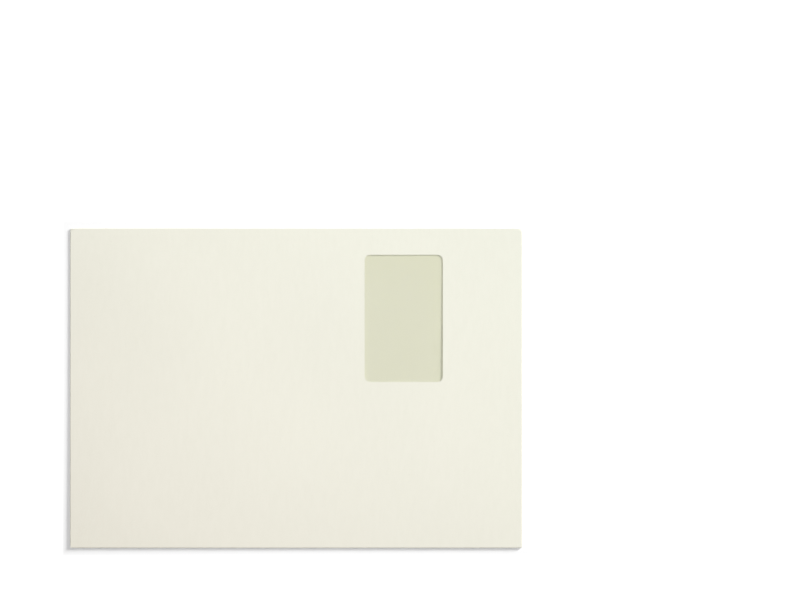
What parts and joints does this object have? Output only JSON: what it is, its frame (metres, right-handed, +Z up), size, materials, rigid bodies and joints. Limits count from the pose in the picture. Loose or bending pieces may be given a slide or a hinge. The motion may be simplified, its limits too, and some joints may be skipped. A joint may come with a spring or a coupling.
{
  "type": "window envelope",
  "caption": "Pocket envelope of folded cream paper lying face up, with a clear address window, glued seam and bottom flap, and a closure flap folded under with its release liner on.",
  "frame": {"origin": "on the surface that the envelope rests on, below the middle of its outline", "axes": "+X towards the closure fold, along the long side; +Y towards the seam fold, beside the window; +Z up out of the face"},
  "size_m": [0.324, 0.229, 0.0017],
  "materials": {
    "envelope_paper": "uncoated, faint texture",
    "clear_film": "clear, glossy",
    "dried_glue": "dried, satin",
    "self_seal_adhesive": "tacky, satin",
    "liner_paper": "silicone coated, smooth"
  },
  "bodies": {
    "root": {"folded_paper": "envelope_paper", "window_film": "clear_film", "window_glue": "dried_glue", "seam_glue": "dried_glue", "bottom_flap_glue": "dried_glue", "flap_adhesive": "self_seal_adhesive", "release_liner": "liner_paper"}
  },
  "joints": []
}
